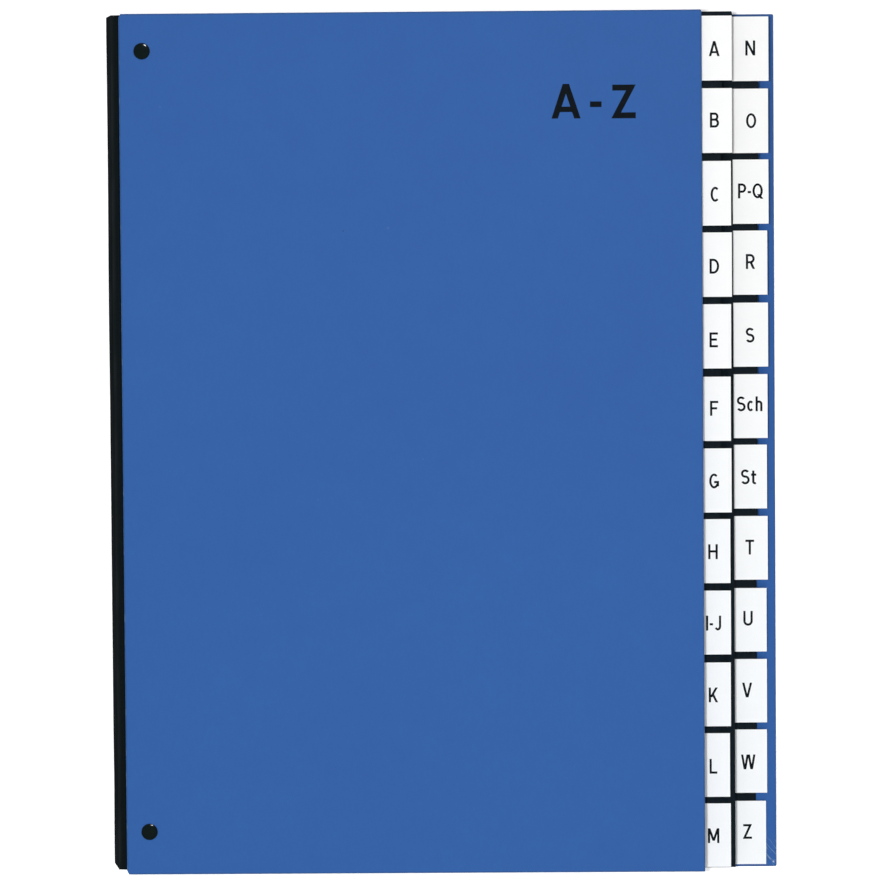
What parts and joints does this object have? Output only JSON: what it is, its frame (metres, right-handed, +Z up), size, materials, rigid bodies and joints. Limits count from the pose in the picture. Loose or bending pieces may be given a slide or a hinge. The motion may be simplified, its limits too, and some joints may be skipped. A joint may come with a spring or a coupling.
{
  "type": "alphabetical desk sorter",
  "caption": "Blue board desk sorter with black card dividers between two hinged covers, white lettered tabs stepped down the fore edge in two columns, and a pleated cloth spine.",
  "frame": {"origin": "centre of the sorter's footprint on the desk, under the back cover", "axes": "+Z up through the closed sorter, +X from the pleated spine to the tabs, +Y towards the head, where the first tabs are"},
  "size_m": [0.2638, 0.341, 0.0249],
  "materials": {
    "cover_board": "stiff greyboard covered in blue coated paper with a fine satin grain",
    "divider_card": "black dyed card, matt and slightly fibrous",
    "tab_label": "smooth white index paper glued on the tabs, black capitals",
    "spine_cloth": "thin black book cloth, folded in sharp pleats",
    "rivet": "black lacquered steel with a soft gloss"
  },
  "bodies": {
    "leaves": {"spine_gusset": "spine_cloth", "divider_a": "divider_card", "divider_b": "divider_card", "divider_c": "divider_card", "divider_d": "divider_card", "divider_e": "divider_card", "divider_f": "divider_card", "divider_g": "divider_card", "divider_h": "divider_card", "divider_i_j": "divider_card", "divider_k": "divider_card", "divider_l": "divider_card", "divider_m": "divider_card", "divider_n": "divider_card", "divider_o": "divider_card", "divider_p_q": "divider_card", "divider_r": "divider_card", "divider_s": "divider_card", "divider_sch": "divider_card", "divider_st": "divider_card", "divider_t": "divider_card", "divider_u": "divider_card", "divider_v": "divider_card", "divider_w": "divider_card", "divider_z": "divider_card", "label_a": "tab_label", "label_b": "tab_label", "label_c": "tab_label", "label_d": "tab_label", "label_e": "tab_label", "label_f": "tab_label", "label_g": "tab_label", "label_h": "tab_label", "label_i_j": "tab_label", "label_k": "tab_label", "label_l": "tab_label", "label_m": "tab_label", "label_n": "tab_label", "label_o": "tab_label", "label_p_q": "tab_label", "label_r": "tab_label", "label_s": "tab_label", "label_sch": "tab_label", "label_st": "tab_label", "label_t": "tab_label", "label_u": "tab_label", "label_v": "tab_label", "label_w": "tab_label", "label_z": "tab_label"},
    "front": {"front_cover": "cover_board", "front_rivet_top": "rivet", "front_rivet_bottom": "rivet"},
    "back": {"back_cover": "cover_board", "back_rivet_top": "rivet", "back_rivet_bottom": "rivet"}
  },
  "joints": [
    {"name": "front_cover_hinge", "type": "hinge", "parent": "leaves", "child": "front", "pos_m": [-0.12863, 0, 0.02091], "axis": [0, -1, 0], "range_deg": [0, 180], "deforming": ["spine_gusset"]},
    {"name": "back_cover_hinge", "type": "hinge", "parent": "leaves", "child": "back", "pos_m": [-0.13187, 0, 0.0026], "axis": [0, 1, 0], "range_deg": [0, 180], "deforming": ["spine_gusset"]}
  ]
}
